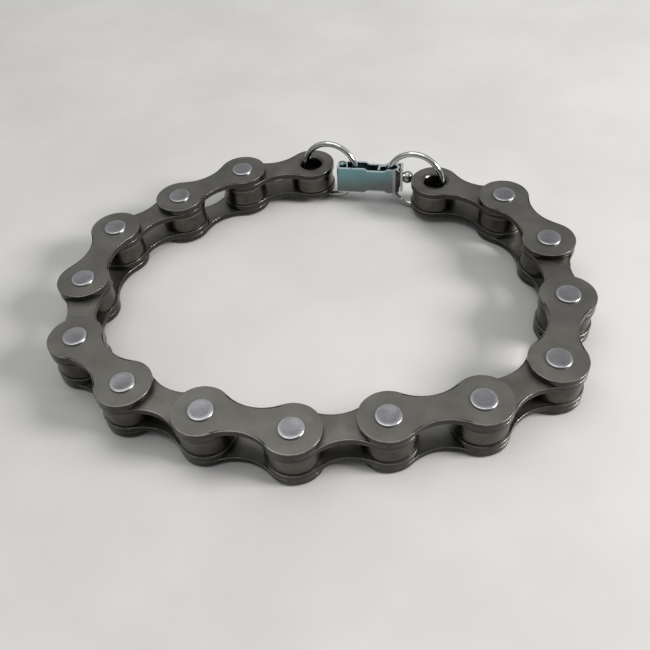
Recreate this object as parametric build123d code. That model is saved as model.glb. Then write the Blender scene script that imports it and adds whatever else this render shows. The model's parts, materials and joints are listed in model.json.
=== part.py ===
from build123d import *
import math
import os

# A roller chain bracelet: fifteen links of half-inch chain lying on their side,
# closed by two jump rings and a small fold-over clasp.
# Millimetres, Z up. The chain rests on its lower pin heads at z = 0.

# ---- chain ----
pitch = 12.7
inner_width = 3.1
plate_thickness = 0.95
plate_end_radius = 4.15
waist_half_width = 2.15
plate_edge_round = 0.14
side_gap = 0.1
pin_diameter = 3.6
pin_stand_out = 0.3
head_lip = 0.06
head_round = 0.2
head_dish_depth = 0.03
head_dish_radius = 1.3
pin_clearance = 0.05
bush_wall = 0.7
bush_mouth_chamfer = 0.3
roller_clearance = 0.06
roller_diameter = 7.75
roller_side_play = 0.08
roller_edge_round = 0.15

# How the bracelet lies: the first link's heading, and the bend at each pin, in degrees.
first_heading = -173
bends = [22, 5, 39, 20, 37, 21, 9, 22, 3, 21, 42, 19, 23, 35]

# ---- jump rings ----
ring_wire = 1.0
ring_radius = 5.0
ring_lean = 7
ring_split = 0.12
ring_table_gap = 0.03
ring_hook_in = 3.74
ring_side_offset = 0.33

# ---- clasp ----
sheet = 0.4
clasp_height = 4.8
clasp_floor = 2.5
clasp_lean = 7
clasp_bend_gap = 1.7
eye_wall_reach = 2.15
eye_length = 3.55
eye_mouth = 0.35
left_wire_inset = 3.35
clasp_turn = 8.48
clasp_skew = 1
eye_wire_offset = 0.1
lever_gap = 0.06
lever_end_gap = 0.15
lip_drop = 1.9
hinge_pin_diameter = 0.8
hinge_clearance = 0.05
knuckle_wall = 0.36
knuckle_gap = 0.06
knuckle_share = 0.28
scallop_depth = 0.4
scallop_length = 4.3
scallop_ramp = 0.7
scallop_from_end = 4.2
knob_diameter = 2.2
knob_neck_diameter = 0.9
knob_seat_depth = 0.3
knob_rise = 0.1

# ---- worked out from the above ----
bush_bore = pin_diameter + 2 * pin_clearance
bush_diameter = bush_bore + 2 * bush_wall
roller_bore = bush_diameter + 2 * roller_clearance
lower_outer_z = pin_stand_out
lower_inner_z = lower_outer_z + plate_thickness + side_gap
cavity_z = lower_inner_z + plate_thickness
upper_inner_z = cavity_z + inner_width
upper_outer_z = upper_inner_z + plate_thickness + side_gap
chain_height = upper_outer_z + plate_thickness + pin_stand_out
link_count = len(bends) + 1
ring_reach = ring_hook_in + ring_radius
rest_z = ring_radius * math.cos(math.radians(ring_lean)) + ring_wire / 2 + ring_table_gap


def toward(heading):
    angle = math.radians(heading)
    return Vector(math.cos(angle), math.sin(angle), 0)


def cylinder(radius, height, x=0.0, y=0.0, z=0.0):
    return Pos(x, y, z) * Cylinder(radius, height, align=(Align.CENTER, Align.CENTER, Align.MIN))


def block(x0, x1, y0, y1, z0, z1):
    return Pos(x0, y0, z0) * Box(x1 - x0, y1 - y0, z1 - z0, align=(Align.MIN, Align.MIN, Align.MIN))


def solid(shape):
    """The one solid inside a boolean result."""
    return shape.solids()[0]


def link_plate(z, hole_diameter):
    """A waisted side plate, from one pin centre at x = 0 to the next at x = pitch."""
    half = pitch / 2
    waist_radius = (half**2 + waist_half_width**2 - plate_end_radius**2) / (
        2 * (plate_end_radius - waist_half_width)
    )
    waist_centre = waist_radius + waist_half_width
    share = plate_end_radius / (plate_end_radius + waist_radius)
    touch_x = half * share
    touch_y = waist_centre * share
    web = Polygon(
        (touch_x, -touch_y), (pitch - touch_x, -touch_y), (pitch - touch_x, touch_y), (touch_x, touch_y),
        align=None,
    )
    outline = Circle(plate_end_radius) + Pos(pitch, 0) * Circle(plate_end_radius) + web
    for side in (-1, 1):
        outline -= Pos(half, side * waist_centre) * Circle(waist_radius)
    plate = extrude(outline, plate_thickness)
    plate = fillet(plate.faces().filter_by(Axis.Z).edges(), plate_edge_round)
    for x in (0, pitch):
        plate -= cylinder(hole_diameter / 2, plate_thickness, x)
    return Pos(0, 0, z) * solid(plate)


def bush(x):
    length = inner_width + 2 * plate_thickness
    body = cylinder(bush_diameter / 2, length) - cylinder(bush_bore / 2, length)
    mouths = body.edges().filter_by(GeomType.CIRCLE).filter_by(lambda e: e.radius < bush_diameter / 2 - 0.01)
    body = chamfer(mouths, bush_mouth_chamfer)
    return Pos(x, 0, lower_inner_z) * solid(body)


def pin(x):
    """A rivet pin with a dished, rounded head at each end."""
    shank = cylinder(pin_diameter / 2, chain_height - 2 * pin_stand_out, z=pin_stand_out)
    head = cylinder(pin_diameter / 2 + head_lip, pin_stand_out)
    head = fillet(head.edges().group_by(Axis.Z)[0], head_round)
    dish_ball = (head_dish_radius**2 + head_dish_depth**2) / (2 * head_dish_depth)
    head -= Pos(0, 0, head_dish_depth - dish_ball) * Sphere(dish_ball)
    top_head = Pos(0, 0, chain_height) * Rot(180, 0, 0) * head
    return Pos(x, 0, 0) * solid(shank + head + top_head)


def roller():
    length = inner_width - 2 * roller_side_play
    body = cylinder(roller_diameter / 2, length)
    body = fillet(body.edges().filter_by(GeomType.CIRCLE), roller_edge_round)
    body -= cylinder(roller_bore / 2, length)
    return Pos(0, 0, cavity_z + roller_side_play) * solid(body)


def jump_ring(split_angle):
    """A split wire ring standing on its edge: the chain's bush at -X, the clasp at +X."""
    ring = Rot(90, 0, 0) * Torus(ring_radius, ring_wire / 2)
    cut = Pos(ring_radius, 0, 0) * Box(2 * ring_wire, 2 * ring_wire, ring_split)
    ring -= Rot(0, -split_angle, 0) * cut
    return Pos(ring_hook_in, ring_side_offset, rest_z) * Rot(-ring_lean, 0, 0) * solid(ring)


# ---- where the pins lie, and how the rings and the clasp close the loop ----
joints = [Vector(0, 0, 0)]
headings = [first_heading]
for bend in bends:
    joints.append(joints[-1] + toward(headings[-1]) * pitch)
    headings.append(headings[-1] + bend)
joints.append(joints[-1] + toward(headings[-1]) * pitch)

# They cross the open end as a shallow S, symmetrical about its middle, and the clasp is as long as that needs.
left_end = joints[0]
right_end = joints[-1]
span = (left_end - right_end).length
span_heading = math.degrees(math.atan2(left_end.Y - right_end.Y, left_end.X - right_end.X))
step_aside = span / 2 * math.sin(math.radians(clasp_turn))
half_clasp = span / 2 * math.cos(math.radians(clasp_turn)) - math.sqrt(ring_reach**2 - step_aside**2)
wire_to_wire = 2 * half_clasp
ring_turn = math.degrees(math.asin(half_clasp * math.sin(math.radians(clasp_turn)) / ring_reach))
clasp_heading = span_heading + clasp_turn
ring_heading = span_heading - ring_turn
eye_wire = (left_end + right_end) * 0.5 - toward(clasp_heading) * half_clasp

# ---- the clasp, from its hinge end at x = 0, its wrist side at y = 0, thickness toward +Y ----
clasp_top = clasp_floor + clasp_height
clasp_length = left_wire_inset + wire_to_wire + eye_wall_reach
eye_outer = clasp_bend_gap / 2 + sheet
eye_x = clasp_length - eye_outer
eye_y = eye_outer
flange_y = sheet + clasp_bend_gap
lever_y = flange_y + sheet + lever_gap
knuckle_radius = hinge_pin_diameter / 2 + knuckle_wall
hinge_x = knuckle_radius
hinge_y = lever_y + sheet - knuckle_radius
knuckle_height = clasp_height * knuckle_share
lip_x = clasp_length + lever_end_gap


def scalloped(body):
    """Cuts the shallow waist out of the top and bottom edges of the clasp sheet."""
    middle = clasp_length - scallop_from_end
    half = scallop_length / 2
    for edge_z, side in ((clasp_floor, 1), (clasp_top, -1)):
        outline = Polygon(
            (middle - half, edge_z), (middle - half + scallop_ramp, edge_z + side * scallop_depth),
            (middle + half - scallop_ramp, edge_z + side * scallop_depth), (middle + half, edge_z),
            (middle + half, edge_z - side), (middle - half, edge_z - side),
            align=None,
        )
        body -= Pos(0, 2 * lever_y, 0) * extrude(Rot(90, 0, 0) * outline, 4 * lever_y)
    return body


def clasp_base():
    """The wrist-side sheet: a flat plate, an eye folded at one end and two hinge knuckles at the other."""
    plate = block(sheet, eye_x, 0, sheet, clasp_floor, clasp_top)
    corner = cylinder(sheet, clasp_height, sheet, sheet, clasp_floor)
    wall = block(0, sheet, sheet, hinge_y, clasp_floor, clasp_top)
    fold = cylinder(eye_outer, clasp_height, eye_x, eye_y, clasp_floor)
    fold -= cylinder(clasp_bend_gap / 2, clasp_height, eye_x, eye_y, clasp_floor)
    fold -= block(eye_x - eye_outer, eye_x, 0, 2 * eye_outer, clasp_floor, clasp_top)
    flange_end = clasp_length - eye_length - sheet
    flange = block(flange_end, eye_x, flange_y, flange_y + sheet, clasp_floor, clasp_top)
    tip = block(flange_end, flange_end + sheet, sheet + eye_mouth, flange_y, clasp_floor, clasp_top)
    body = plate + corner + wall + fold + flange + tip
    body = scalloped(body)
    knuckle = cylinder(knuckle_radius, clasp_height, hinge_x, hinge_y, clasp_floor)
    body += knuckle
    middle_low = clasp_floor + knuckle_height - knuckle_gap
    middle_high = clasp_top - knuckle_height + knuckle_gap
    room = knuckle_radius + knuckle_gap
    body -= cylinder(room, middle_high - middle_low, hinge_x, hinge_y, middle_low)
    body -= cylinder(hinge_pin_diameter / 2, clasp_height, hinge_x, hinge_y, clasp_floor)
    return solid(body)


def clasp_lever():
    """The outer leaf: a middle knuckle, a long plate and a lip that closes round the eye."""
    low = clasp_floor + knuckle_height
    high = clasp_top - knuckle_height
    plate = block(2 * hinge_x + knuckle_gap, lip_x, lever_y, lever_y + sheet, clasp_floor, clasp_top)
    root = block(hinge_x, 2 * hinge_x + knuckle_gap, lever_y, lever_y + sheet, low, high)
    corner = cylinder(sheet, clasp_height, lip_x, lever_y, clasp_floor)
    corner -= block(lip_x - sheet, lip_x, lever_y - sheet, lever_y, clasp_floor, clasp_top)
    lip = block(lip_x, lip_x + sheet, lever_y + sheet - lip_drop, lever_y, clasp_floor, clasp_top)
    knuckle = cylinder(knuckle_radius, high - low, hinge_x, hinge_y, low)
    body = plate + root + corner + lip
    body = scalloped(body) + knuckle
    body -= cylinder(hinge_pin_diameter / 2 + hinge_clearance, high - low, hinge_x, hinge_y, low)
    body -= knob_hole()
    return solid(body)


def knob_axis(x):
    return Pos(x, lever_y + sheet - lip_drop / 2, (clasp_floor + clasp_top) / 2 + knob_rise) * Rot(0, 90, 0)


def knob_hole():
    return knob_axis(lip_x) * cylinder(knob_neck_diameter / 2, 2 * sheet)


def clasp_knob():
    """The thumb knob: a ball with a flat seat on the lip, and a neck riveted through it."""
    neck = cylinder(knob_neck_diameter / 2, sheet + knob_diameter / 2)
    ball = Pos(0, 0, sheet + knob_diameter / 2 - knob_seat_depth) * Sphere(knob_diameter / 2)
    ball -= cylinder(knob_diameter, sheet + knob_diameter, z=-knob_diameter)
    return knob_axis(lip_x) * solid(neck + ball)


def clasp_hinge_pin():
    return solid(cylinder(hinge_pin_diameter / 2, clasp_height, hinge_x, hinge_y, clasp_floor))


# ---- every piece in its place ----
clasp_place = (
    Pos(eye_wire.X, eye_wire.Y, 0)
    * Rot(0, 0, clasp_heading + 180 + clasp_skew)
    * Pos(0, 0, rest_z)
    * Rot(-clasp_lean, 0, 0)
    * Pos(-(left_wire_inset + wire_to_wire), ring_side_offset - eye_y - eye_wire_offset, -rest_z)
)
left_ring_place = Pos(left_end.X, left_end.Y, 0) * Rot(0, 0, ring_heading + 180)
right_ring_place = Pos(right_end.X, right_end.Y, 0) * Rot(0, 0, ring_heading)

pieces = {}
for index in range(link_count):
    place = Pos(joints[index].X, joints[index].Y, 0) * Rot(0, 0, headings[index])
    number = index // 2 + 1
    if index % 2 == 0:
        plates = [link_plate(z, bush_diameter) for z in (lower_inner_z, upper_inner_z)]
        pieces[f"inner_link_{number}_plates"] = [place * plate for plate in plates]
        pieces[f"inner_link_{number}_bushes"] = [place * bush(x) for x in (0, pitch)]
        for end, x in enumerate((0, pitch)):
            pieces[f"roller_{index + end + 1:02d}"] = [place * Pos(x, 0, 0) * roller()]
    else:
        pieces[f"outer_link_{number}_lower_plate"] = [place * link_plate(lower_outer_z, pin_diameter)]
        pieces[f"outer_link_{number}_upper_plate"] = [place * link_plate(upper_outer_z, pin_diameter)]
        pieces[f"outer_link_{number}_pins"] = [place * pin(x) for x in (0, pitch)]
pieces["ring_left"] = [left_ring_place * jump_ring(200)]
pieces["ring_right"] = [right_ring_place * mirror(jump_ring(-60), Plane.XZ)]
pieces["clasp_base"] = [clasp_place * clasp_base()]
pieces["clasp_lever"] = [clasp_place * clasp_lever()]
pieces["clasp_hinge_pin"] = [clasp_place * clasp_hinge_pin()]
pieces["clasp_knob"] = [clasp_place * clasp_knob()]

# The origin is the middle of the bracelet's outline, at the height of the surface it lies on.
outline = Compound([body for bodies in pieces.values() for body in bodies]).bounding_box()
shift = Pos(-(outline.min.X + outline.max.X) / 2, -(outline.min.Y + outline.max.Y) / 2, -outline.min.Z)

os.makedirs("parts", exist_ok=True)
for name, bodies in pieces.items():
    moved = [shift * body for body in bodies]
    export_step(moved[0] if len(moved) == 1 else Compound(moved), f"parts/{name}.step")
print("pin ends", [tuple(round(v, 4) for v in (shift * Pos(joint)).position) for joint in joints])
middle_z = (clasp_floor + clasp_top) / 2
print("eye", tuple((shift * clasp_place * Pos(eye_x, eye_y, middle_z)).position))
print("hinge", tuple((shift * clasp_place * Pos(hinge_x, hinge_y, middle_z)).position))
print("clasp axis", tuple((clasp_place * Pos(0, 0, 1)).position - clasp_place.position))
print("height", chain_height, "span", span, "clasp turn", clasp_turn)
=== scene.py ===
import json
import math

import bmesh
import bpy
from mathutils import Matrix, Vector


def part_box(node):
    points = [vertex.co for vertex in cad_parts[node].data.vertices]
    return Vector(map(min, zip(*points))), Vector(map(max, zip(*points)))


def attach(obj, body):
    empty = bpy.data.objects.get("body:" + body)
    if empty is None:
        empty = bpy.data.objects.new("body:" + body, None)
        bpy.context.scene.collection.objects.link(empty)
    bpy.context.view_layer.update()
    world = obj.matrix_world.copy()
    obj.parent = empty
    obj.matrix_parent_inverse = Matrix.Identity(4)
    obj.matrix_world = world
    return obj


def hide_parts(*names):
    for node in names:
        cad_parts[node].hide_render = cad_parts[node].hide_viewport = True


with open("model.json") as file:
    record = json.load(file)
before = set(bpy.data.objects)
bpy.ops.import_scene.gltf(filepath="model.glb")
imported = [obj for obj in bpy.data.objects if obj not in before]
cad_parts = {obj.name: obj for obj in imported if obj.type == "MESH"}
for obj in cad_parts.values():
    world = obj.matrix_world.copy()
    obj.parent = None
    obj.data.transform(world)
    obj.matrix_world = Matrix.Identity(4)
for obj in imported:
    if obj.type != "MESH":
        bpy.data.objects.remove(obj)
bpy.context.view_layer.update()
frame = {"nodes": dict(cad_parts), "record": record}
moving = frame["record"]["behaviour"]["joints"]
print("frame loaded:", len(frame["nodes"]), "nodes")

# Pieces are made in millimetres and scaled once, when they are placed.
mm = 0.001
fullTurn = math.tau
zAxis = (0, 0, 1)
middle = (0, 0, 0)
mergeWithin = 0.0004  # points nearer than this are one point


def jointAt(name):
    joint = next(j for j in moving if j["name"] == name)
    return Vector(joint["pos_m"]) / mm


def boxOf(node):
    low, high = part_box(node)
    return Vector(low) / mm, Vector(high) / mm


# The sixteen pin centres, from the left ring round to the right ring.
pinAt = [jointAt("ring_left_swing")]
pinAt += [jointAt(f"pin_{number:02d}_bend") for number in range(1, 15)]
pinAt += [jointAt("ring_right_swing")]


# Material building blocks. Patterns read Object coordinates, in metres, so a
# pattern's scale is in cells per metre.
def newMaterial(name, **fixed):
    material = bpy.data.materials.new(name)
    material.use_nodes = True
    tree = material.node_tree
    shader = tree.nodes["Principled BSDF"]
    for key, value in fixed.items():
        shader.inputs[key.replace("_", " ")].default_value = value
    return material, tree, shader


def plug(tree, socket, value):
    if isinstance(value, bpy.types.NodeSocket):
        tree.links.new(value, socket)
    else:
        socket.default_value = value


def noise(tree, scale, detail=4, rough=0.6, stretch=(1, 1, 1)):
    mapping = tree.nodes.new("ShaderNodeMapping")
    mapping.inputs["Scale"].default_value = stretch
    place = tree.nodes.new("ShaderNodeTexCoord").outputs["Object"]
    tree.links.new(place, mapping.inputs["Vector"])
    pattern = tree.nodes.new("ShaderNodeTexNoise")
    pattern.inputs["Scale"].default_value = scale
    pattern.inputs["Detail"].default_value = detail
    pattern.inputs["Roughness"].default_value = rough
    tree.links.new(mapping.outputs["Vector"], pattern.inputs["Vector"])
    return pattern.outputs["Fac"]


def remap(tree, value, fromLow, fromHigh, toLow=0.0, toHigh=1.0):
    made = tree.nodes.new("ShaderNodeMapRange")
    made.interpolation_type = "SMOOTHSTEP"
    limits = {"From Min": fromLow, "From Max": fromHigh, "To Min": toLow, "To Max": toHigh}
    for key, number in limits.items():
        made.inputs[key].default_value = number
    tree.links.new(value, made.inputs["Value"])
    return made.outputs["Result"]


def combine(tree, kind, first, second):
    made = tree.nodes.new("ShaderNodeMath")
    made.operation = kind
    plug(tree, made.inputs[0], first)
    plug(tree, made.inputs[1], second)
    return made.outputs[0]


def blendColour(tree, share, first, second):
    made = tree.nodes.new("ShaderNodeMix")
    made.data_type = "RGBA"
    plug(tree, made.inputs[0], share)
    for socket, colour in ((made.inputs[6], first), (made.inputs[7], second)):
        plug(tree, socket, colour if isinstance(colour, bpy.types.NodeSocket) else (*colour, 1))
    return made.outputs[2]


def bump(tree, height, depth, strength):
    made = tree.nodes.new("ShaderNodeBump")
    made.inputs["Distance"].default_value = depth
    made.inputs["Strength"].default_value = strength
    tree.links.new(height, made.inputs["Height"])
    return made.outputs["Normal"]


def vertexMask(tree, name="wearAndHighlight"):
    made = tree.nodes.new("ShaderNodeAttribute")
    made.attribute_name = name
    return made.outputs["Fac"]


# Tumbling and rolling leave marks this deep, in metres.
deepMarks = 0.00002
fineMarks = 0.00001

# Oxide finish of the side plates: satin olive grey, glossier on the sheared walls, painted shade
# darkening the walls, rubbed wear and a painted highlight lightening the rims.
oxidePlate = {
    "dark": (0.098, 0.095, 0.085),
    "light": (0.139, 0.135, 0.121),
    # wall is painted shade for the side walls.
    "wall": (0.03, 0.028, 0.024),
    # worn is rubbed wear with a painted highlight for the rounded rims.
    "wornAndHighlight": (0.4, 0.385, 0.35),
    "paintedWallShade": 0.8,
    "wornAndHighlightShare": 0.2,
    "smooth": 0.34,
    "rough": 0.46,
    "wallShine": 0.16,
    "blotchScale": 150,
    "grainScale": 2600,
    "rubScale": 700,
    "shineScale": 420,
    "bump": 0.4,
}


def oxideMaterial(name, look):
    material, tree, shader = newMaterial(name, Metallic=0.92)
    blotch = remap(tree, noise(tree, look["blotchScale"], detail=5), 0.3, 0.72)
    grain = noise(tree, look["grainScale"], detail=3)
    wall, wearAndHighlight = vertexMask(tree, "wall"), vertexMask(tree)
    colour = blendColour(tree, blotch, look["dark"], look["light"])
    # Painted shade: the side walls are darkened towards the wall colour.
    paintedWallShade = combine(tree, "MULTIPLY", wall, look["paintedWallShade"])
    colour = blendColour(tree, paintedWallShade, colour, look["wall"])
    # Rubbed wear and a painted highlight: the rounded rims are lightened in rubbed patches.
    patchy = remap(tree, noise(tree, look["rubScale"], rough=0.7), 0.35, 0.65)
    rubbedAndHighlight = combine(tree, "MULTIPLY", wearAndHighlight, patchy)
    wornAndHighlightShare = combine(tree, "MULTIPLY", rubbedAndHighlight, look["wornAndHighlightShare"])
    colour = blendColour(tree, wornAndHighlightShare, colour, look["wornAndHighlight"])
    tree.links.new(colour, shader.inputs["Base Color"])
    rough = remap(tree, noise(tree, look["shineScale"]), 0.3, 0.7, look["smooth"], look["rough"])
    shine = combine(tree, "MULTIPLY", combine(tree, "MAXIMUM", wall, wearAndHighlight), look["wallShine"])
    tree.links.new(combine(tree, "SUBTRACT", rough, shine), shader.inputs["Roughness"])
    fine = combine(tree, "MULTIPLY", grain, 0.5)
    coarse = combine(tree, "MULTIPLY", blotch, 0.9)
    height = combine(tree, "ADD", fine, coarse)
    tree.links.new(bump(tree, height, deepMarks, look["bump"]), shader.inputs["Normal"])
    return material


# Pin ends: bright steel, with a painted highlight round the rim.
rivetHead = {
    "base": (0.245, 0.243, 0.26),
    "deep": (0.185, 0.184, 0.19),
    # rim is the colour of the painted highlight round the head.
    "rim": (0.5, 0.5, 0.5),
    "rimHighlightShare": 0.45,
    "smooth": 0.24,
    "rough": 0.36,
    "cloudScale": 420,
    "shineScale": 800,
    "dentScale": 1200,
    "bump": 0.45,
}


def rivetMaterial(look):
    material, tree, shader = newMaterial("rivetRimHighlight", Metallic=1.0)
    cloud = remap(tree, noise(tree, look["cloudScale"]), 0.32, 0.7)
    colour = blendColour(tree, cloud, look["base"], look["deep"])
    # Painted highlight: the head brightens towards its rim.
    rimHighlightShare = combine(tree, "MULTIPLY", vertexMask(tree), look["rimHighlightShare"])
    colour = blendColour(tree, rimHighlightShare, colour, look["rim"])
    tree.links.new(colour, shader.inputs["Base Color"])
    rough = remap(tree, noise(tree, look["shineScale"]), 0.3, 0.7, look["smooth"], look["rough"])
    tree.links.new(rough, shader.inputs["Roughness"])
    dents = noise(tree, look["dentScale"])
    tree.links.new(bump(tree, dents, deepMarks, look["bump"]), shader.inputs["Normal"])
    return material


# Rollers and bushes: dark turned steel, its marks running round the piece.
turnedRoller = {
    "dark": (0.056, 0.051, 0.045),
    "light": (0.108, 0.1, 0.088),
    # worn is rubbed wear with a painted highlight for the rounded rims.
    "wornAndHighlight": (0.3, 0.29, 0.27),
    "wornAndHighlightShare": 0.5,
    "smooth": 0.2,
    "rough": 0.32,
    "markScale": 400,
    "markStretch": (0.15, 0.15, 14),
    "cloudScale": 260,
    "bump": 0.5,
}
bushTurned = {
    **turnedRoller,
    "dark": (0.08, 0.075, 0.065),
    "light": (0.14, 0.132, 0.116),
    "wornAndHighlight": (0.2, 0.19, 0.17),
}


def turnedMaterial(name, look):
    material, tree, shader = newMaterial(name, Metallic=1.0)
    marks = noise(tree, look["markScale"], detail=3, stretch=look["markStretch"])
    cloud = remap(tree, noise(tree, look["cloudScale"]), 0.3, 0.7)
    colour = blendColour(tree, cloud, look["dark"], look["light"])
    # Rubbed wear and a painted highlight: the rounded rims are lightened.
    wornAndHighlightShare = combine(tree, "MULTIPLY", vertexMask(tree), look["wornAndHighlightShare"])
    colour = blendColour(tree, wornAndHighlightShare, colour, look["wornAndHighlight"])
    tree.links.new(colour, shader.inputs["Base Color"])
    rough = remap(tree, marks, 0.3, 0.7, look["smooth"], look["rough"])
    tree.links.new(rough, shader.inputs["Roughness"])
    height = combine(tree, "ADD", marks, combine(tree, "MULTIPLY", cloud, 0.4))
    tree.links.new(bump(tree, height, fineMarks, look["bump"]), shader.inputs["Normal"])
    return material


# Bright nickel on the wire, duller and yellower on the knob.
nickelWire = {
    "base": (0.5, 0.505, 0.49),
    "dull": (0.36, 0.365, 0.35),
    "smooth": 0.12,
    "rough": 0.2,
    "cloudScale": 300,
    "shineScale": 700,
    "dentScale": 500,
    "bump": 0.3,
}
nickelKnob = {
    **nickelWire,
    "base": (0.36, 0.37, 0.33),
    "dull": (0.2, 0.21, 0.18),
    "smooth": 0.14,
    "rough": 0.28,
}
softDetail = {"detail": 3, "rough": 0.5}  # plated metal is smoother than turned or tumbled steel


def nickelMaterial(name, look):
    material, tree, shader = newMaterial(name, Metallic=1.0)
    cloud = remap(tree, noise(tree, look["cloudScale"], **softDetail), 0.42, 0.75)
    tree.links.new(blendColour(tree, cloud, look["base"], look["dull"]), shader.inputs["Base Color"])
    ripple = noise(tree, look["shineScale"], **softDetail)
    rough = remap(tree, ripple, 0.3, 0.7, look["smooth"], look["rough"])
    tree.links.new(rough, shader.inputs["Roughness"])
    dents = noise(tree, look["dentScale"], **softDetail)
    tree.links.new(bump(tree, dents, fineMarks, look["bump"]), shader.inputs["Normal"])
    return material


# Clasp sheet: plated, with a painted blue reflection that grows upwards and towards the hinge, painted
# light on the lip and a painted highlight along the edges.
# Reflection and lip limits are places on the object, in metres.
claspSheet = {
    # blue is the colour of the painted reflection.
    "blueReflection": (0.165, 0.315, 0.35),
    "grey": (0.125, 0.137, 0.135),
    # lip is painted light: the lip is lighter than the rest of the sheet.
    "lip": (0.45, 0.45, 0.45),
    # edge is the colour of the painted highlight along the sheet's edges.
    "edge": (0.72, 0.82, 0.86),
    "edgeHighlightShare": 0.85,
    "reflectionLow": 0.0022,
    "reflectionHigh": 0.0066,
    "reflectionSlope": 0.15,
    "reflectionWander": 0.001,
    "lipStart": 0.0149,
    "lipEnd": 0.0158,
    "smooth": 0.2,
    "rough": 0.32,
    "wanderScale": 260,
    "shineScale": 700,
    "dentScale": 420,
    "bump": 0.35,
}


def claspMaterial(look):
    material, tree, shader = newMaterial("claspSheetNickel", Metallic=1.0)
    place = tree.nodes.new("ShaderNodeSeparateXYZ")
    tree.links.new(tree.nodes.new("ShaderNodeTexCoord").outputs["Object"], place.inputs[0])
    # Painted blue reflection: stronger higher up and towards the hinge, wandering a little.
    along = combine(tree, "MULTIPLY", place.outputs["X"], look["reflectionSlope"])
    slope = combine(tree, "SUBTRACT", place.outputs["Z"], along)
    cloud = noise(tree, look["wanderScale"], **softDetail)
    wander = combine(tree, "MULTIPLY", cloud, look["reflectionWander"])
    slope = combine(tree, "ADD", slope, wander)
    tint = remap(tree, slope, look["reflectionLow"], look["reflectionHigh"])
    colour = blendColour(tree, tint, look["grey"], look["blueReflection"])
    # Painted light: the lip, at the far end, is lighter.
    onLip = remap(tree, place.outputs["X"], look["lipStart"], look["lipEnd"])
    colour = blendColour(tree, onLip, colour, look["lip"])
    # Painted highlight along the top and bottom edges.
    edgeHighlightShare = combine(tree, "MULTIPLY", vertexMask(tree), look["edgeHighlightShare"])
    colour = blendColour(tree, edgeHighlightShare, colour, look["edge"])
    tree.links.new(colour, shader.inputs["Base Color"])
    ripple = noise(tree, look["shineScale"], **softDetail)
    rough = remap(tree, ripple, 0.3, 0.7, look["smooth"], look["rough"])
    tree.links.new(rough, shader.inputs["Roughness"])
    dents = noise(tree, look["dentScale"], **softDetail)
    tree.links.new(bump(tree, dents, fineMarks, look["bump"]), shader.inputs["Normal"])
    return material


outerSteel = oxideMaterial("outerPlateSteel", oxidePlate)
innerSteel = oxideMaterial("innerPlateSteel", {**oxidePlate, "dark": (0.088, 0.084, 0.074)})
rivetSteel = rivetMaterial(rivetHead)
rollerSteel = turnedMaterial("turnedRollerSteel", turnedRoller)
bushSteel = turnedMaterial("bushSteel", bushTurned)
wireNickel = nickelMaterial("wireNickel", nickelWire)
claspNickel = claspMaterial(claspSheet)
knobNickel = nickelMaterial("knobNickel", nickelKnob)
print("materials made")


# Modelling building blocks.
sharpFrom = math.radians(40)  # shading breaks at edges sharper than this


def vertsIn(geom):
    return [part for part in geom if isinstance(part, bmesh.types.BMVert)]


# Turns a short outline of (radius, height) points about Z.
def lathe(bm, profile, steps):
    points = [bm.verts.new((radius, 0, height)) for radius, height in profile]
    lines = [bm.edges.new(pair) for pair in zip(points, points[1:])]
    bmesh.ops.spin(
        bm, geom=points + lines, cent=middle, axis=zAxis, dvec=middle, angle=fullTurn,
        steps=steps, use_merge=True,
    )
    bmesh.ops.remove_doubles(bm, verts=bm.verts, dist=mergeWithin)


def roundOff(bm, picked, offset, segments):
    bmesh.ops.bevel(
        bm, geom=picked, offset=offset, offset_type="OFFSET", segments=segments, profile=0.5,
        affect="EDGES", material=-1, clamp_overlap=True,
    )


def sharpEdges(bm, degrees=50):
    limit = math.radians(degrees)
    return [edge for edge in bm.edges if len(edge.link_faces) == 2 and edge.calc_face_angle(0) > limit]


# The distance from the Z axis to an edge's middle.
def radiusOf(edge):
    point = (edge.verts[0].co + edge.verts[1].co) / 2
    return point.xy.length


def isFlat(face):
    return abs(face.normal.z) > 0.999


def isWall(face):
    return abs(face.normal.z) < 0.02


# Leaves the rim mask, which carries rubbed wear and a painted highlight, at 1 on the rounded edges and
# fades it to 0 inside the given faces.
def markWearAndHighlight(bm, faces, margin):
    layer = bm.verts.layers.float.get("wearAndHighlight") or bm.verts.layers.float.new("wearAndHighlight")
    for vert in bm.verts:
        vert[layer] = 1.0
    bmesh.ops.inset_region(bm, faces=faces, thickness=margin, use_even_offset=True, use_boundary=True)
    for face in faces:
        for vert in face.verts:
            vert[layer] = 0.0


# Merges, turns outwards, scales and places a piece, and makes it an object on its body.
def addPiece(bm, name, place, body, nodes, material):
    bmesh.ops.remove_doubles(bm, verts=bm.verts, dist=mergeWithin)
    bmesh.ops.recalc_face_normals(bm, faces=bm.faces)
    bmesh.ops.transform(bm, matrix=Matrix.Scale(mm, 4) @ place, verts=bm.verts)
    loose = sum(1 for edge in bm.edges if not edge.is_manifold)
    mesh = bpy.data.meshes.new(name)
    bm.to_mesh(mesh)
    bm.free()
    mesh.shade_smooth()
    mesh.set_sharp_from_angle(angle=sharpFrom)
    mesh.materials.append(material)
    piece = bpy.data.objects.new(name, mesh)
    bpy.context.scene.collection.objects.link(piece)
    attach(piece, body)
    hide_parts(*nodes)
    if loose:
        print("open edges:", name, loose)


# Side plates: two round ends joined by a waist.
plate = {
    "pitch": 12.7,
    "endRadius": 4.15,
    "waistHalf": 2.15,
    "thick": 0.95,
    "edgeRound": 0.15,
    "fade": 0.16,
    "outerHole": 3.6,
    "innerHole": 5.1,
    "edgeSteps": 4,
    "facingSteps": 16,
    "backSteps": 36,
    "waistSteps": 14,
}


# The distance from a point to the nearer of a plate's two hole centres.
def fromPin(point):
    return min((point.xy - Vector((x, 0))).length for x in (0, plate["pitch"]))


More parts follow.
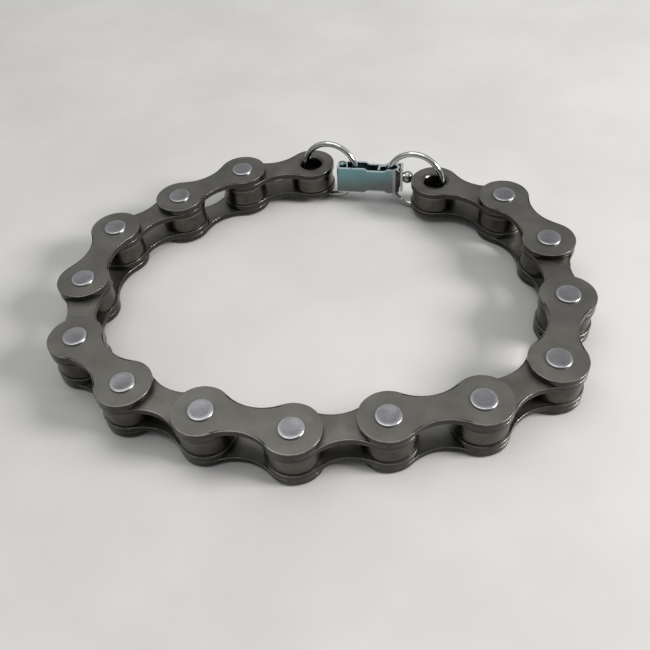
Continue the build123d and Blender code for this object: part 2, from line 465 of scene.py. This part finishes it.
def sidePlate(holeDiameter):
    bm = bmesh.new()
    half = plate["pitch"] / 2
    slack = 0.001
    reach, waist = plate["endRadius"], plate["waistHalf"]
    waistRadius = (half**2 + waist**2 - reach**2) / (2 * (reach - waist))
    waistCentre = waistRadius + waist
    touch = math.atan2(waistCentre, half)
    spoke = [bm.verts.new((holeDiameter / 2, 0, 0)), bm.verts.new((reach, 0, 0))]
    spoke.append(bm.edges.new(spoke))
    bmesh.ops.rotate(bm, verts=spoke[:2], cent=middle, matrix=Matrix.Rotation(-touch, 3, "Z"))
    stretches = ((2 * touch, plate["facingSteps"]), (fullTurn - 2 * touch, plate["backSteps"]))
    for angle, steps in stretches:
        spoke = bmesh.ops.spin(
            bm, geom=spoke, cent=middle, axis=zAxis, dvec=middle, angle=angle, steps=steps
        )["geom_last"]
    bmesh.ops.remove_doubles(bm, verts=bm.verts, dist=mergeWithin)

    def facesTwin(point):
        onRim = abs(point.length - reach) < slack
        return onRim and abs(math.atan2(point.y, point.x)) < touch + slack

    facing = [edge for edge in bm.edges if all(facesTwin(vert.co) for vert in edge.verts)]
    twin = vertsIn(bmesh.ops.duplicate(bm, geom=bm.faces[:])["geom"])
    bmesh.ops.rotate(bm, verts=twin, cent=(half, 0, 0), matrix=Matrix.Rotation(math.pi, 3, "Z"))
    # The web is pulled from one facing arc to the other, and narrows with the waist.
    start = sorted({v for edge in facing for v in edge.verts}, key=lambda v: v.co.y)
    start = [v.co.copy() for v in start]
    outerX, outerY = start[-1].x, start[-1].y
    for step in range(1, plate["waistSteps"] + 1):
        grown = bmesh.ops.extrude_edge_only(bm, edges=facing)["geom"]
        facing = [part for part in grown if isinstance(part, bmesh.types.BMEdge)]
        share = step / plate["waistSteps"]
        across = outerX + (plate["pitch"] - 2 * outerX) * share
        narrow = (waistCentre - math.sqrt(waistRadius**2 - (across - half) ** 2)) / outerY
        for vert, home in zip(sorted(vertsIn(grown), key=lambda v: v.co.y), start):
            vert.co = (home.x + (plate["pitch"] - 2 * home.x) * share, home.y * narrow, 0)
    bmesh.ops.remove_doubles(bm, verts=bm.verts, dist=mergeWithin)
    grown = bmesh.ops.extrude_face_region(bm, geom=bm.faces[:])
    bmesh.ops.translate(bm, verts=vertsIn(grown["geom"]), vec=(0, 0, plate["thick"]))
    bmesh.ops.recalc_face_normals(bm, faces=bm.faces)
    rims = sharpEdges(bm)
    pastHole = holeDiameter / 2 + 0.05
    outerRims = [edge for edge in rims if min(fromPin(vert.co) for vert in edge.verts) > pastHole]
    roundOff(bm, outerRims, plate["edgeRound"], plate["edgeSteps"])
    flat = [face for face in bm.faces if isFlat(face)]
    wall = [face for face in bm.faces if isWall(face)]
    markWearAndHighlight(bm, flat + wall, plate["fade"])
    # The wall mask marks the side walls for painted shade and a glossier finish.
    layer = bm.verts.layers.float.new("wall")
    for vert in bm.verts:
        steep = any(abs(face.normal.z) < 0.5 for face in vert.link_faces)
        if steep and fromPin(vert.co) > pastHole:
            vert[layer] = 1.0
    return bm


# One plate at each level, joined in one piece.
def addPlates(name, place, levels, hole, body, nodes, material):
    bm = sidePlate(hole)
    first = bm.faces[:]
    for level in levels[1:]:
        more = bmesh.ops.duplicate(bm, geom=first)
        bmesh.ops.translate(bm, verts=vertsIn(more["geom"]), vec=(0, 0, level - levels[0]))
    seat = place @ Matrix.Translation((0, 0, levels[0]))
    addPiece(bm, name, seat, body, nodes, material)


# The frame of a link: its first pin at the origin, the next along X.
def linkPlace(index):
    first, second = pinAt[index], pinAt[index + 1]
    heading = math.atan2(second.y - first.y, second.x - first.x)
    return Matrix.Translation((first.x, first.y, 0)) @ Matrix.Rotation(heading, 4, "Z")


# Rivet pins with dished heads, standing out beyond the plates.
pin = {
    "radius": 1.8,
    "headRadius": 1.86,
    "headRound": 0.2,
    "headSteps": 5,
    "standOut": 0.3,
    "dishRadius": 1.3,
    "dishDepth": 0.03,
    "dishShares": (0, 0.3, 0.6, 0.85),
    "steps": 56,
}


def rivetPin(bm, x, height):
    made = bmesh.new()
    out, dish = pin["standOut"], pin["dishRadius"]
    ball = (dish**2 + pin["dishDepth"] ** 2) / (2 * pin["dishDepth"])

    def dishHeight(radius):
        return pin["dishDepth"] - ball + math.sqrt(ball**2 - radius**2)

    inside = [(dish * share, dishHeight(dish * share)) for share in pin["dishShares"]]
    head = [(dish, 0), (pin["headRadius"], 0), (pin["headRadius"], out), (pin["radius"], out)]
    lower = inside + head
    upper = [(radius, height - level) for radius, level in reversed(lower)]
    lathe(made, lower + upper, pin["steps"])
    bmesh.ops.recalc_face_normals(made, faces=made.faces)

    def onEndRim(edge):
        level = edge.verts[0].co.z
        return radiusOf(edge) > pin["headRadius"] - 0.02 and min(level, height - level) < 0.01

    rims = [edge for edge in sharpEdges(made) if onEndRim(edge)]
    roundOff(made, rims, pin["headRound"], pin["headSteps"])
    # The rim mask rises from the dish to the rim, where the painted highlight is strongest.
    layer = made.verts.layers.float.new("wearAndHighlight")
    brightFrom = pin["headRadius"] - pin["headRound"] / 2
    for vert in made.verts:
        share = (vert.co.xy.length - dish) / (brightFrom - dish)
        vert[layer] = min(1.0, max(0.0, share))
    bmesh.ops.translate(made, verts=made.verts, vec=(x, 0, 0))
    joinInto(bm, made)


# Moves everything in made over to bm.
def joinInto(bm, made):
    mesh = bpy.data.meshes.new("part")
    made.to_mesh(mesh)
    made.free()
    bm.from_mesh(mesh)
    bpy.data.meshes.remove(mesh)


# Bushes: tubes with a flared mouth at each end.
bush = {"radius": 2.55, "bore": 1.85, "mouth": 0.3, "endRound": 0.06, "steps": 56}


def bushTube(bm, x, low, high):
    made = bmesh.new()
    bore, outside, flare = bush["bore"], bush["radius"], bush["mouth"]
    outline = [
        (bore, low + flare), (bore + flare, low), (outside, low), (outside, high),
        (bore + flare, high), (bore, high - flare), (bore, low + flare),
    ]
    lathe(made, outline, bush["steps"])
    bmesh.ops.recalc_face_normals(made, faces=made.faces)
    ends = [edge for edge in sharpEdges(made, 20) if radiusOf(edge) < outside - 0.05]
    roundOff(made, ends, bush["endRound"], 2)
    bmesh.ops.translate(made, verts=made.verts, vec=(x, 0, 0))
    joinInto(bm, made)


# Rollers: thick tubes that turn on the bushes.
roller = {
    "radius": 3.875,
    "bore": 2.61,
    "edgeRound": 0.16,
    "boreRound": 0.06,
    "fade": 0.14,
    "steps": 72,
}


def rollerBody(low, high):
    bm = bmesh.new()
    bore, outside = roller["bore"], roller["radius"]
    outline = [(bore, low), (outside, low), (outside, high), (bore, high), (bore, low)]
    lathe(bm, outline, roller["steps"])
    bmesh.ops.recalc_face_normals(bm, faces=bm.faces)
    between = (bore + outside) / 2
    outer = [edge for edge in sharpEdges(bm) if radiusOf(edge) > between]
    roundOff(bm, outer, roller["edgeRound"], 4)
    inner = [edge for edge in sharpEdges(bm) if radiusOf(edge) < between]
    roundOff(bm, inner, roller["boreRound"], 2)
    tread = [face for face in bm.faces if isWall(face) and face.calc_center_median().xy.length > between]
    ends = [face for face in bm.faces if isFlat(face)]
    markWearAndHighlight(bm, tread + ends, roller["fade"])
    return bm


# The chain itself: inner and outer links take turns, and both ends are inner links.
for index in range(len(pinAt) - 1):
    number = index // 2 + 1
    place = linkPlace(index)
    if index % 2 == 0:
        body = f"inner_link_{number}"
        low, high = boxOf(f"{body}_plates")
        addPlates(
            f"innerPlates.{number}", place, (low.z, high.z - plate["thick"]), plate["innerHole"], body,
            [f"{body}_plates"], innerSteel,
        )
        bushes = bmesh.new()
        for x in (0, plate["pitch"]):
            bushTube(bushes, x, low.z, high.z)
        addPiece(bushes, f"bushes.{number}", place, body, [f"{body}_bushes"], bushSteel)
        for end in (0, 1):
            node = f"roller_{index + end + 1:02d}"
            low, high = boxOf(node)
            at = pinAt[index + end]
            addPiece(
                rollerBody(low.z, high.z), node.replace("_", "."), Matrix.Translation((at.x, at.y, 0)),
                node, [node], rollerSteel,
            )
    else:
        body = f"outer_link_{number}"
        for side in ("lower", "upper"):
            low, high = boxOf(f"{body}_{side}_plate")
            addPlates(
                f"outerPlate.{side}.{number}", place, (low.z,), plate["outerHole"], body,
                [f"{body}_{side}_plate"], outerSteel,
            )
        low, high = boxOf(f"{body}_pins")
        pins = bmesh.new()
        for x in (0, plate["pitch"]):
            rivetPin(pins, x, high.z)
        addPiece(pins, f"rivets.{number}", place, body, [f"{body}_pins"], rivetSteel)
print("chain made")


# Jump rings: round wire, split once. Lean is in degrees, skew is how far the cut ends stand apart.
ring = {
    "radius": 5.0,
    "wire": 1.0,
    "lean": 7,
    "split": 0.12,
    "hookIn": 3.74,
    "sideOffset": 0.33,
    "skew": 0.1,
    "skewSpread": 0.9,
    "cutRound": 0.07,
    "wireSides": 28,
    "steps": 120,
}


def jumpRing(name, hook, side, splitAngle):
    low, high = boxOf(name)
    centre = (low + high) / 2
    heading = math.atan2(centre.y - hook.y, centre.x - hook.x)
    heading -= side * math.atan2(ring["sideOffset"], ring["hookIn"])
    bm = bmesh.new()
    section = bmesh.ops.create_circle(
        bm, cap_ends=False, radius=ring["wire"] / 2, segments=ring["wireSides"]
    )["verts"]
    gap = ring["split"] / ring["radius"]
    bmesh.ops.translate(bm, verts=section, vec=(ring["radius"], 0, 0))
    bmesh.ops.rotate(bm, verts=section, cent=middle, matrix=Matrix.Rotation(math.pi / 2, 3, "X"))
    bmesh.ops.rotate(bm, verts=section, cent=middle, matrix=Matrix.Rotation(gap / 2, 3, "Z"))
    bmesh.ops.spin(
        bm, geom=bm.verts[:] + bm.edges[:], cent=middle, axis=zAxis, dvec=middle,
        angle=fullTurn - gap, steps=ring["steps"],
    )
    bmesh.ops.holes_fill(bm, edges=[edge for edge in bm.edges if edge.is_boundary], sides=0)
    bmesh.ops.recalc_face_normals(bm, faces=bm.faces)
    roundOff(bm, sharpEdges(bm), ring["cutRound"], 2)
    # The two cut ends stand a little out of line with each other.
    for vert in bm.verts:
        angle = math.atan2(vert.co.y, vert.co.x)
        share = max(0.0, 1 - abs(angle) / ring["skewSpread"])
        vert.co.z += math.copysign(ring["skew"] / 2 * share**2, angle)
    place = (
        Matrix.Translation(centre)
        @ Matrix.Rotation(heading, 4, "Z")
        @ Matrix.Rotation(math.radians(-side * ring["lean"]), 4, "X")
        @ Matrix.Rotation(math.pi / 2, 4, "X")
        @ Matrix.Rotation(math.radians(splitAngle), 4, "Z")
    )
    addPiece(bm, name + ".wire", place, name, [name], wireNickel)


jumpRing("ring_left", pinAt[0], 1, 200)
jumpRing("ring_right", pinAt[15], -1, -60)
print("rings made")


# Clasp: its own frame has the hinge end at x = 0, the wrist side at y = 0.
clasp = {
    "sheet": 0.4,
    "tall": 4.8,
    "bendGap": 1.7,
    "leverGap": 0.06,
    "lipDrop": 1.9,
    "eyeLength": 3.55,
    "eyeMouth": 0.35,
    "endGap": 0.15,
    "pinRadius": 0.4,
    "pinRound": 0.12,
    "knuckleWall": 0.36,
    "knuckleShare": 0.28,
    "knuckleGap": 0.06,
    "knuckleRound": 0.1,
    "boreGap": 0.02,
    "scallopDepth": 0.4,
    "scallopLength": 4.3,
    "scallopRamp": 0.7,
    "scallopFromEnd": 4.2,
    "edgeRound": 0.09,
    "rim": 0.22,
    "runStep": 0.25,
    "rootLap": 0.2,
    "bendMerge": 0.01,
    "knobRadius": 1.1,
    "knobNeck": 0.45,
    "knobSeat": 0.3,
    "knobRise": 0.1,
    "knobRound": 0.06,
    "neckRound": 0.1,
}
sheet = clasp["sheet"]
claspHigh = clasp["tall"] / 2
claspLow = -claspHigh
eyeOuter = clasp["bendGap"] / 2 + sheet
flangeY = sheet + clasp["bendGap"]
leverY = flangeY + sheet + clasp["leverGap"]
knuckleRadius = clasp["pinRadius"] + clasp["knuckleWall"]
hingeLocal = Vector((knuckleRadius, leverY + sheet - knuckleRadius, 0))
hingeWorld, eyeWorld = jointAt("clasp_lever_open"), jointAt("clasp_base_swing")
between = eyeWorld - hingeWorld
aside = eyeOuter - hingeLocal.y
eyeLocal = Vector((hingeLocal.x + math.sqrt(between.length_squared - aside**2), eyeOuter, 0))
claspLength = eyeLocal.x + eyeOuter
lipX = claspLength + clasp["endGap"]

# The clasp leans with its rings, so its frame is built on the hinge's own axis.
lever = next(joint for joint in moving if joint["name"] == "clasp_lever_open")
claspZ = Vector(lever["axis"]).normalized()
claspX = Matrix.Rotation(-math.atan2(aside, eyeLocal.x - hingeLocal.x), 3, claspZ) @ between.normalized()
claspTurn = Matrix((claspX, claspZ.cross(claspX), claspZ)).transposed()
claspPlace = Matrix.Translation(hingeWorld - claspTurn @ hingeLocal) @ claspTurn.to_4x4()


# How far the sheet's top and bottom edges come in at x.
def scallop(x):
    away = abs(x - (claspLength - clasp["scallopFromEnd"]))
    share = min(1.0, max(0.0, (clasp["scallopLength"] / 2 - away) / clasp["scallopRamp"]))
    return clasp["scallopDepth"] * share**2 * (3 - 2 * share)


# Bends a strip along its outer face and thickens it inwards. In runs, ("to", x, y) is
# a straight run and ("arc", x, y, degrees) a bend about a point. Outward is the way that
# the outer face looks at the start.
def bentSheet(bm, start, runs, outward, low, high, shaped=True):
    made = bmesh.new()
    tip = made.verts.new((*start, 0))
    for run in runs:
        about = Vector((run[1], run[2], 0))
        if run[0] == "to":
            steps = max(1, round((about - tip.co).length / clasp["runStep"]))
            hop = (about - tip.co) / steps
            for _ in range(steps):
                grown = bmesh.ops.extrude_vert_indiv(made, verts=[tip])["verts"][0]
                grown.co = tip.co + hop
                tip = grown
        else:
            steps = max(6, round(abs(run[3]) / 9))
            tip = bmesh.ops.spin(
                made, geom=[tip], cent=about, axis=zAxis, dvec=middle,
                angle=math.radians(run[3]), steps=steps,
            )["geom_last"][0]
    bmesh.ops.remove_doubles(made, verts=made.verts, dist=mergeWithin)
    rows = [(made.verts[:], low, 1)]
    edges = made.edges[:]
    rim = clasp["rim"]
    for level, way in ((low + rim, 1), (high - rim, -1), (high, -1)):
        grown = bmesh.ops.extrude_edge_only(made, edges=edges)["geom"]
        edges = [part for part in grown if isinstance(part, bmesh.types.BMEdge)]
        rows.append((vertsIn(grown), level, way))
    for verts, level, way in rows:
        for vert in verts:
            vert.co.z = level + (way * scallop(vert.co.x) if shaped else 0)
    bmesh.ops.recalc_face_normals(made, faces=made.faces)
    first = min(made.faces, key=lambda face: (face.calc_center_median().xy - Vector(start)).length)
    if first.normal.dot(Vector(outward)) < 0:
        bmesh.ops.reverse_faces(made, faces=made.faces)
    bmesh.ops.solidify(made, geom=made.faces[:], thickness=sheet)
    # A tight bend's inside is one line.
    bmesh.ops.remove_doubles(made, verts=made.verts, dist=clasp["bendMerge"])
    bmesh.ops.recalc_face_normals(made, faces=made.faces)
    roundOff(made, sharpEdges(made, 60), clasp["edgeRound"], 3)
    # The rim mask marks the top and bottom edges for the painted highlight.
    layer = made.verts.layers.float.new("wearAndHighlight")
    for vert in made.verts:
        edge = min(vert.co.z - low, high - vert.co.z) - (scallop(vert.co.x) if shaped else 0)
        vert[layer] = max(0.0, 1.0 - edge / rim)
    joinInto(bm, made)


def knuckleTube(bm, low, high):
    made = bmesh.new()
    bore, outside = clasp["pinRadius"] + clasp["boreGap"], knuckleRadius
    lathe(made, [(bore, low), (outside, low), (outside, high), (bore, high), (bore, low)], 44)
    bmesh.ops.recalc_face_normals(made, faces=made.faces)
    outer = [edge for edge in sharpEdges(made) if radiusOf(edge) > (bore + outside) / 2]
    roundOff(made, outer, clasp["knuckleRound"], 3)
    bmesh.ops.translate(made, verts=made.verts, vec=(hingeLocal.x, hingeLocal.y, 0))
    joinInto(bm, made)


knuckleTall = clasp["tall"] * clasp["knuckleShare"]
baseLeaf = bmesh.new()
flangeEnd = claspLength - clasp["eyeLength"] - sheet
eyeRun = [
    ("arc", sheet, sheet, 90),
    ("to", eyeLocal.x, 0),
    ("arc", eyeLocal.x, eyeLocal.y, 180),
    ("to", flangeEnd + sheet, flangeY + sheet),
    ("arc", flangeEnd + sheet, flangeY, 90),
    ("to", flangeEnd, sheet + clasp["eyeMouth"]),
]
baseRun = [("to", 0, sheet)] + eyeRun
bentSheet(baseLeaf, (0, hingeLocal.y), baseRun, (-1, 0, 0), claspLow, claspHigh)
knuckleTube(baseLeaf, claspLow, claspLow + knuckleTall - clasp["knuckleGap"])
knuckleTube(baseLeaf, claspHigh - knuckleTall + clasp["knuckleGap"], claspHigh)
addPiece(baseLeaf, "claspBase", claspPlace, "clasp_base", ["clasp_base"], claspNickel)

leverLeaf = bmesh.new()
plateStart = 2 * knuckleRadius + clasp["knuckleGap"]
lipRun = [
    ("to", lipX, leverY + sheet),
    ("arc", lipX, leverY, -90),
    ("to", lipX + sheet, leverY + sheet - clasp["lipDrop"]),
]
bentSheet(leverLeaf, (plateStart, leverY + sheet), lipRun, (0, 1, 0), claspLow, claspHigh)
rootLow, rootHigh = claspLow + knuckleTall, claspHigh - knuckleTall
rootRun = [("to", plateStart + clasp["rootLap"], leverY + sheet)]
bentSheet(
    leverLeaf, (knuckleRadius, leverY + sheet), rootRun, (0, 1, 0), rootLow, rootHigh, shaped=False
)
knuckleTube(leverLeaf, rootLow, rootHigh)
addPiece(leverLeaf, "claspLever", claspPlace, "clasp_lever", ["clasp_lever"], claspNickel)

hingePin = bmesh.new()
pinRadius = clasp["pinRadius"]
lathe(hingePin, [(0, claspLow), (pinRadius, claspLow), (pinRadius, claspHigh), (0, claspHigh)], 32)
bmesh.ops.recalc_face_normals(hingePin, faces=hingePin.faces)
roundOff(hingePin, sharpEdges(hingePin), clasp["pinRound"], 3)
bmesh.ops.translate(hingePin, verts=hingePin.verts, vec=(hingeLocal.x, hingeLocal.y, 0))
addPiece(
    hingePin, "claspHingePin", claspPlace, "clasp_base", ["clasp_hinge_pin"], wireNickel
)

# The thumb knob: a ball cut flat where it seats on the lip, with its neck riveted through.
knob = bmesh.new()
ballAt = sheet + clasp["knobRadius"] - clasp["knobSeat"]
ball = bmesh.ops.create_uvsphere(knob, u_segments=44, v_segments=28, radius=clasp["knobRadius"])
bmesh.ops.translate(knob, verts=ball["verts"], vec=(0, 0, ballAt))
wholeBall = knob.verts[:] + knob.edges[:] + knob.faces[:]
bmesh.ops.bisect_plane(
    knob, geom=wholeBall, plane_co=(0, 0, sheet), plane_no=zAxis, clear_inner=True
)
bmesh.ops.holes_fill(knob, edges=[edge for edge in knob.edges if edge.is_boundary], sides=0)
roundOff(knob, sharpEdges(knob, 30), clasp["knobRound"], 2)
neck = bmesh.new()
neckRadius = clasp["knobNeck"]
lathe(neck, [(0, 0), (neckRadius, 0), (neckRadius, ballAt), (0, ballAt)], 28)
bmesh.ops.recalc_face_normals(neck, faces=neck.faces)
seatRim = [edge for edge in sharpEdges(neck) if edge.verts[0].co.z < ballAt / 2]
roundOff(neck, seatRim, clasp["neckRound"], 3)
joinInto(knob, neck)
knobAt = Vector((lipX, leverY + sheet - clasp["lipDrop"] / 2, clasp["knobRise"]))
knobPlace = claspPlace @ Matrix.Translation(knobAt) @ Matrix.Rotation(math.pi / 2, 4, "Y")
addPiece(knob, "claspKnob", knobPlace, "clasp_lever", ["clasp_knob"], knobNickel)
print("clasp made")


# Camera: a high view from the front, tipped a little to one side. Angles are in degrees.
camera = {
    "place": (0.51, -87.10, 86.82),
    "elevation": 46.71,
    "roll": 5.65,
    "lens": 41.65,
    "sensor": 36,
    "nearest": 0.005,
}
tilt, roll = math.radians(camera["elevation"]), math.radians(camera["roll"])
right = Vector((1, 0, 0))
up = Vector((0, math.sin(tilt), math.cos(tilt)))
back = Vector((0, -math.cos(tilt), math.sin(tilt)))
viewer = bpy.data.objects.new("viewer", bpy.data.cameras.new("viewer"))
bpy.context.scene.collection.objects.link(viewer)
cameraX = math.cos(roll) * right - math.sin(roll) * up
cameraY = math.sin(roll) * right + math.cos(roll) * up
turned = Matrix((cameraX, cameraY, back)).transposed().to_4x4()
viewer.matrix_world = Matrix.Translation(Vector(camera["place"]) * mm) @ turned
viewer.data.sensor_width = camera["sensor"]
viewer.data.lens = camera["lens"]
viewer.data.clip_start = camera["nearest"]
bpy.context.scene.camera = viewer
bpy.context.scene.view_settings.view_transform = "Standard"

# Pale floor, at the height that the chain rests on.
paleFloor = {"dark": (0.37, 0.364, 0.354), "light": (0.41, 0.404, 0.394), "blotch": 30, "half": 1.2}
floorMaterial, tree, shader = newMaterial("paleFloor", Roughness=0.7)
tint = remap(tree, noise(tree, paleFloor["blotch"]), 0.3, 0.7)
colour = blendColour(tree, tint, paleFloor["dark"], paleFloor["light"])
tree.links.new(colour, shader.inputs["Base Color"])
bm = bmesh.new()
bmesh.ops.create_grid(bm, x_segments=1, y_segments=1, size=paleFloor["half"])
floorMesh = bpy.data.meshes.new("floor")
bm.to_mesh(floorMesh)
bm.free()
floorMesh.materials.append(floorMaterial)
floor = bpy.data.objects.new("floor", floorMesh)
bpy.context.scene.collection.objects.link(floor)

# Soft studio light: a grey room, brighter overhead and dimmer in front, and two panels.
softRoom = {"strength": 0.8, "below": (0.3, 0.31, 0.33), "above": (1.0, 1.0, 1.0), "front": 0.4}
world = bpy.data.worlds.new("softRoom")
world.use_nodes = True
bpy.context.scene.world = world
roomTree = world.node_tree
room = roomTree.nodes["Background"]
room.inputs["Strength"].default_value = softRoom["strength"]
direction = roomTree.nodes.new("ShaderNodeTexCoord").outputs["Generated"]
split = roomTree.nodes.new("ShaderNodeSeparateXYZ")
roomTree.links.new(direction, split.inputs[0])
height = remap(roomTree, split.outputs["Z"], -0.1, 0.95)
front = remap(roomTree, split.outputs["Y"], -0.85, -0.25, softRoom["front"], 1.0)
sky = blendColour(roomTree, height, softRoom["below"], softRoom["above"])
roomTree.links.new(blendColour(roomTree, front, (0.0, 0.0, 0.0), sky), room.inputs["Color"])
lamps = {
    "keyPanel": {"at": (0.44, -0.12, 0.26), "size": 0.16, "watts": 4.4, "colour": (1.0, 0.99, 0.97)},
    "topPanel": {"at": (-0.1, 0.05, 0.6), "size": 0.5, "watts": 1.6, "colour": (0.98, 0.99, 1.0)},
}
for name, lamp in lamps.items():
    light = bpy.data.lights.new(name, "AREA")
    light.size = lamp["size"]
    light.energy = lamp["watts"]
    light.color = lamp["colour"]
    holder = bpy.data.objects.new(name, light)
    holder.location = lamp["at"]
    holder.rotation_mode = "QUATERNION"
    holder.rotation_quaternion = (-Vector(lamp["at"])).to_track_quat("-Z", "Y")
    bpy.context.scene.collection.objects.link(holder)
print("camera, floor and lights made")
